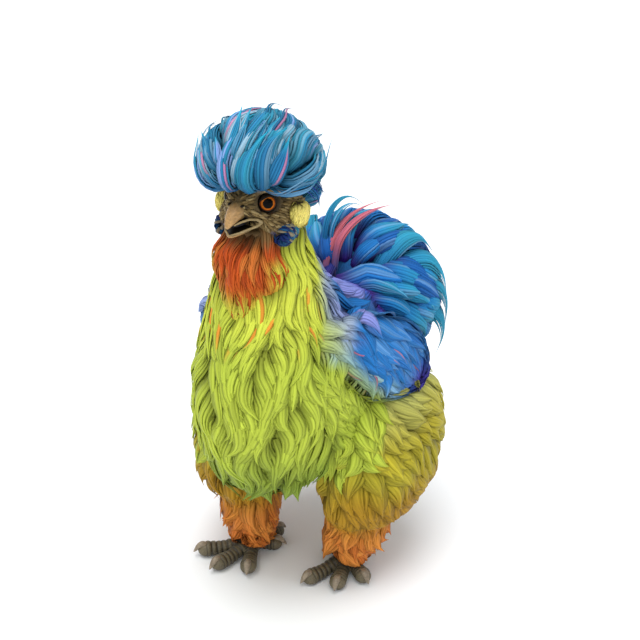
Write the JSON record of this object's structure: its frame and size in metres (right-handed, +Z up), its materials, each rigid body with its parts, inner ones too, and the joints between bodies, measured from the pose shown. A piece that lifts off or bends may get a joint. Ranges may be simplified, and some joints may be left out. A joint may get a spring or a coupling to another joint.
{
  "type": "silkie chicken",
  "caption": "Life-size standing silkie chicken with a swept-back crest, beard, cushion tail and feathered legs in rainbow colours, as a still display model.",
  "frame": {"origin": "on the floor, under the middle of the bird's bounding box", "axes": "+Z up, -Y the way the bird faces, +X to the bird's left"},
  "size_m": [0.1808, 0.2276, 0.3471],
  "materials": {
    "face_skin": "matt, finely feathered skin",
    "beak_horn": "satin horn",
    "tongue": "moist",
    "eye": "wet gloss",
    "crest_feathers": "silky feathers",
    "beard_feathers": "silky feathers",
    "ear_tuft_feathers": "soft down",
    "earlobe": "soft skin",
    "neck_feathers": "silky feathers",
    "body_feathers": "silky feathers",
    "wing_feathers": "silky feathers",
    "tail_feathers": "silky feathers",
    "thigh_feathers": "silky feathers",
    "leg_feathers": "silky feathers",
    "foot_scales": "dry scaled skin",
    "claw_horn": "worn horn"
  },
  "bodies": {
    "root": {"head": "face_skin", "beak_upper": "beak_horn", "beak_lower": "beak_horn", "tongue": "tongue", "eye_left": "eye", "eye_right": "eye", "crest": "crest_feathers", "beard": "beard_feathers", "ear_tuft_left": "ear_tuft_feathers", "ear_tuft_right": "ear_tuft_feathers", "earlobe_left": "earlobe", "earlobe_right": "earlobe", "neck": "neck_feathers", "torso": "body_feathers", "wing_left": "wing_feathers", "wing_right": "wing_feathers", "tail": "tail_feathers", "thigh_left": "thigh_feathers", "thigh_right": "thigh_feathers", "shank_left": "leg_feathers", "shank_right": "leg_feathers", "foot_left": "foot_scales", "foot_right": "foot_scales", "claw_left_inner": "claw_horn", "claw_left_middle": "claw_horn", "claw_left_outer": "claw_horn", "claw_left_hallux": "claw_horn", "claw_left_fifth": "claw_horn", "claw_right_inner": "claw_horn", "claw_right_middle": "claw_horn", "claw_right_outer": "claw_horn", "claw_right_hallux": "claw_horn", "claw_right_fifth": "claw_horn"}
  },
  "joints": []
}
